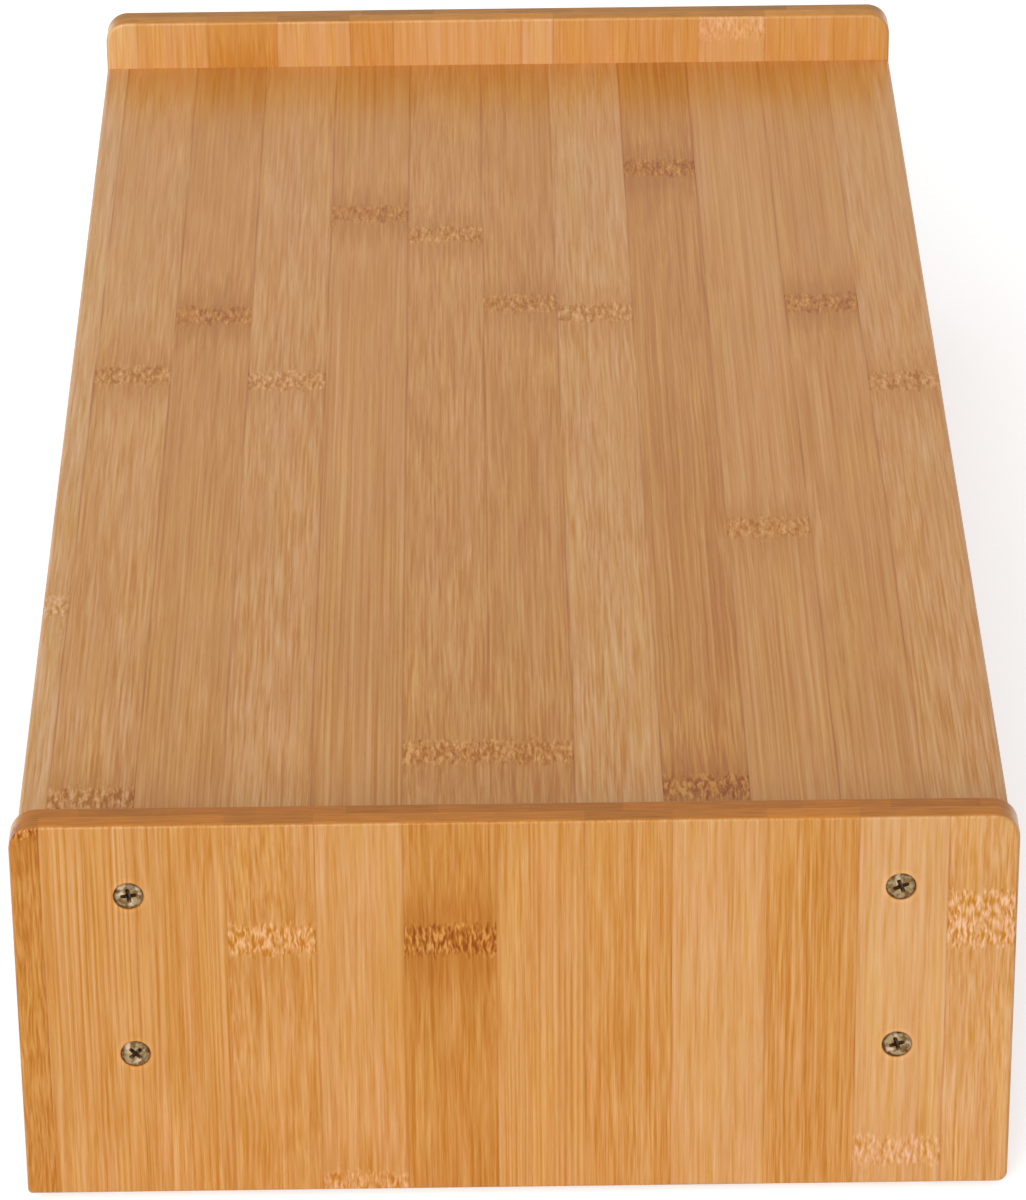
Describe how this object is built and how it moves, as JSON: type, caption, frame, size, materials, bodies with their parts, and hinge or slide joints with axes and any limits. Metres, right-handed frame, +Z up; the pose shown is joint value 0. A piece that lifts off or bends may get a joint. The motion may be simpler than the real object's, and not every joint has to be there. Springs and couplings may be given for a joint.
{
  "type": "monitor riser with drawers",
  "caption": "Low bamboo desk riser: a top shelf for a monitor between end panels, sliding drawers under it, and room beneath for a keyboard.",
  "frame": {"origin": "on the desk, under the middle of the riser", "axes": "+X along the riser, to the right of someone at its drawers; the drawers open towards -Y; +Z up"},
  "size_m": [0.54, 0.27, 0.12],
  "materials": {
    "bamboo": "satin lacquered, caramel coloured pressed bamboo strips",
    "bamboo_side": "satin lacquered, paler bamboo with narrow strips",
    "bamboo_ply": "thin bamboo plywood, sanded and lightly sealed",
    "beech": "raw turned beech",
    "yellow_zinc": "yellow zinc plated, slightly dull",
    "bright_steel": "bright drawn wire",
    "pad_rubber": "milky clear, satin"
  },
  "bodies": {
    "riser": {"left_end_panel": "bamboo", "right_end_panel": "bamboo", "top_shelf": "bamboo", "lower_shelf": "bamboo", "left_divider": "bamboo", "right_divider": "bamboo", "left_bay_back": "bamboo_side", "right_bay_back": "bamboo_side", "left_panel_screws": "yellow_zinc", "right_panel_screws": "yellow_zinc", "divider_screws": "yellow_zinc", "divider_dowels": "beech", "foot_pads": "pad_rubber"},
    "left_drawer": {"left_drawer_front": "bamboo", "left_drawer_outer_side": "bamboo_side", "left_drawer_inner_side": "bamboo_side", "left_drawer_rear": "bamboo_side", "left_drawer_bottom": "bamboo_ply", "left_drawer_brads": "bright_steel"},
    "right_drawer": {"right_drawer_front": "bamboo", "right_drawer_outer_side": "bamboo_side", "right_drawer_inner_side": "bamboo_side", "right_drawer_rear": "bamboo_side", "right_drawer_bottom": "bamboo_ply", "right_drawer_brads": "bright_steel"}
  },
  "joints": [
    {"name": "left_drawer_slide", "type": "slide", "parent": "riser", "child": "left_drawer", "axis": [0, -1, 0], "range_m": [0, 0.2]},
    {"name": "right_drawer_slide", "type": "slide", "parent": "riser", "child": "right_drawer", "axis": [0, -1, 0], "range_m": [0, 0.2]}
  ]
}
